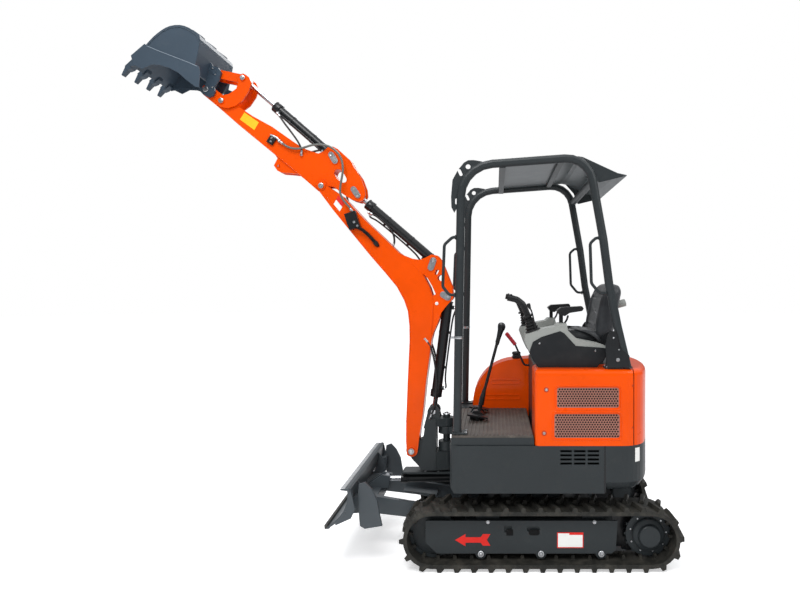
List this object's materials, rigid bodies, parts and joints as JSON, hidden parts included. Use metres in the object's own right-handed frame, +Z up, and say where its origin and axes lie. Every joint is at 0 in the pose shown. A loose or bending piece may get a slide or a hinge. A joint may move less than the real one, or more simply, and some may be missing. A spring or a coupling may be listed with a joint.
{
  "type": "mini excavator",
  "caption": "Tracked mini excavator with swing boom, arm and bucket, dozer blade, canopy over an open operator station, posed with the boom raised.",
  "frame": {"origin": "middle of the whole machine's box as it is stored, on the ground under the tracks", "axes": "+X forward, the way the blade and boom point, +Y to the machine's left, +Z up"},
  "size_m": [3.3212, 0.99, 3.1738],
  "materials": {
    "orange_paint": "gloss enamel",
    "charcoal_paint": "fine textured enamel",
    "slate_paint": "satin enamel",
    "black_paint": "satin enamel",
    "roof_paint": "satin enamel",
    "track_rubber": "moulded",
    "mat_rubber": "ribbed",
    "bare_steel": "worn",
    "chrome_rod": "polished",
    "cast_metal": "rough",
    "seat_vinyl": "grained vinyl",
    "grey_plastic": "moulded",
    "black_plastic": "moulded"
  },
  "bodies": {
    "undercarriage": {"centre_frame": "charcoal_paint", "track_frames": "charcoal_paint", "track_left": "track_rubber", "track_right": "track_rubber", "idlers": "charcoal_paint", "rollers": "bare_steel", "sprockets": "bare_steel", "travel_motors": "charcoal_paint"},
    "upper": {"turntable_frame": "charcoal_paint", "counterweight": "charcoal_paint", "floor_mat": "mat_rubber", "left_cover": "orange_paint", "cover_grilles": "charcoal_paint", "right_cover": "orange_paint", "seat_base": "charcoal_paint", "engine_block": "cast_metal", "seat": "seat_vinyl", "console_left": "grey_plastic", "console_right": "grey_plastic", "control_levers": "black_plastic", "travel_levers": "black_plastic", "armrests": "black_plastic", "canopy_frame": "charcoal_paint", "canopy_roof": "roof_paint", "grab_handles": "charcoal_paint", "swing_barrel": "black_paint"},
    "bonnet": {"rear_bonnet": "orange_paint"},
    "swing": {"swing_bracket": "charcoal_paint"},
    "swing_rod": {"swing_rod": "chrome_rod"},
    "boom": {"boom": "orange_paint", "boom_valve": "black_paint"},
    "boom_barrel": {"boom_cyl_barrel": "black_paint"},
    "boom_rod": {"boom_cyl_rod": "chrome_rod"},
    "arm_barrel": {"arm_cyl_barrel": "black_paint"},
    "arm_rod": {"arm_cyl_rod": "chrome_rod"},
    "arm": {"arm": "orange_paint"},
    "bucket_barrel": {"bucket_cyl_barrel": "black_paint"},
    "bucket_rod": {"bucket_cyl_rod": "chrome_rod"},
    "rocker": {"rocker": "orange_paint"},
    "link": {"link": "orange_paint"},
    "bucket": {"bucket": "slate_paint", "bucket_teeth": "slate_paint"},
    "blade": {"blade": "charcoal_paint"},
    "blade_barrel": {"blade_barrel": "black_paint"},
    "blade_rod": {"blade_rod": "chrome_rod"}
  },
  "joints": [
    {"name": "slew", "type": "hinge", "parent": "undercarriage", "child": "upper", "pos_m": [-0.878, 0, 0.44], "axis": [0, 0, 1], "continuous": true},
    {"name": "bonnet_lift", "type": "hinge", "parent": "upper", "child": "bonnet", "pos_m": [-1.3945, 0, 1.1383], "axis": [0, 1, 0], "range_deg": [0, 65]},
    {"name": "boom_swing", "type": "hinge", "parent": "upper", "child": "swing", "pos_m": [-0.308, 0, 0.6], "axis": [0, 0, 1], "range_deg": [-60, 65]},
    {"name": "boom_lift", "type": "hinge", "parent": "swing", "child": "boom", "pos_m": [-0.091, 0, 0.558], "axis": [0, -1, 0], "range_deg": [-99, 0]},
    {"name": "arm_curl", "type": "hinge", "parent": "boom", "child": "arm", "pos_m": [0.47877, 0, 2.23168], "axis": [0, 1, 0], "range_deg": [0, 108]},
    {"name": "bucket_curl", "type": "hinge", "parent": "arm", "child": "bucket", "pos_m": [1.2045, 0, 2.83849], "axis": [0, -1, 0], "range_deg": [-130, 30]},
    {"name": "blade_lift", "type": "hinge", "parent": "undercarriage", "child": "blade", "pos_m": [-0.408, 0, 0.2], "axis": [0, 1, 0], "range_deg": [0, 40]},
    {"name": "boom_cylinder_tilt", "type": "hinge", "parent": "boom", "child": "boom_barrel", "pos_m": [-0.31979, 0, 1.52745], "axis": [0, -1, 0], "range_deg": [-8, 1]},
    {"name": "boom_cylinder_stroke", "type": "slide", "parent": "boom_barrel", "child": "boom_rod", "axis": [0.1255, 0, -0.9921], "range_m": [-0.002, 0.42]},
    {"name": "arm_cylinder_tilt", "type": "hinge", "parent": "boom", "child": "arm_barrel", "pos_m": [-0.22786, 0, 1.76025], "axis": [0, -1, 0], "range_deg": [-1, 4]},
    {"name": "arm_cylinder_stroke", "type": "slide", "parent": "arm_barrel", "child": "arm_rod", "axis": [0.7575, 0, 0.6528], "range_m": [-0.002, 0.4]},
    {"name": "bucket_cylinder_tilt", "type": "hinge", "parent": "arm", "child": "bucket_barrel", "pos_m": [0.41916, 0, 2.4308], "axis": [0, -1, 0], "range_deg": [-8, 2]},
    {"name": "bucket_cylinder_stroke", "type": "slide", "parent": "bucket_barrel", "child": "bucket_rod", "axis": [0.7557, 0, 0.655], "range_m": [-0.06, 0.21]},
    {"name": "rocker_turn", "type": "hinge", "parent": "arm", "child": "rocker", "pos_m": [1.10872, 0, 2.76752], "axis": [0, -1, 0], "range_deg": [-72, 20]},
    {"name": "link_turn", "type": "hinge", "parent": "bucket", "child": "link", "pos_m": [1.15247, 0, 2.94749], "axis": [0, -1, 0], "range_deg": [-20, 72]},
    {"name": "blade_cylinder_tilt", "type": "hinge", "parent": "undercarriage", "child": "blade_barrel", "pos_m": [-0.418, 0, 0.372], "axis": [0, 1, 0], "range_deg": [-1, 36]},
    {"name": "blade_cylinder_stroke", "type": "slide", "parent": "blade_barrel", "child": "blade_rod", "axis": [0.9999, 0, -0.0121], "range_m": [-0.002, 0.12]},
    {"name": "swing_cylinder_stroke", "type": "slide", "parent": "upper", "child": "swing_rod", "axis": [0.9983, 0.0587, 0], "range_m": [-0.11, 0.12]}
  ],
  "couplings": [
    {"joint": "boom_cylinder_tilt", "follows": "boom_lift", "ratio": 0.068283},
    {"joint": "boom_cylinder_stroke", "follows": "boom_lift", "m_per_rad": -0.23827},
    {"joint": "arm_cylinder_tilt", "follows": "arm_curl", "ratio": 0.034074},
    {"joint": "arm_cylinder_stroke", "follows": "arm_curl", "m_per_rad": 0.20053},
    {"joint": "bucket_cylinder_tilt", "follows": "bucket_curl", "ratio": 0.058538},
    {"joint": "bucket_cylinder_stroke", "follows": "bucket_curl", "m_per_rad": -0.088544},
    {"joint": "rocker_turn", "follows": "bucket_curl", "ratio": 0.54539},
    {"joint": "link_turn", "follows": "bucket_curl", "ratio": -0.54461},
    {"joint": "blade_cylinder_tilt", "follows": "blade_lift", "ratio": 0.88625},
    {"joint": "blade_cylinder_stroke", "follows": "blade_lift", "m_per_rad": 0.15699},
    {"joint": "swing_cylinder_stroke", "follows": "boom_swing", "m_per_rad": 0.096624}
  ]
}
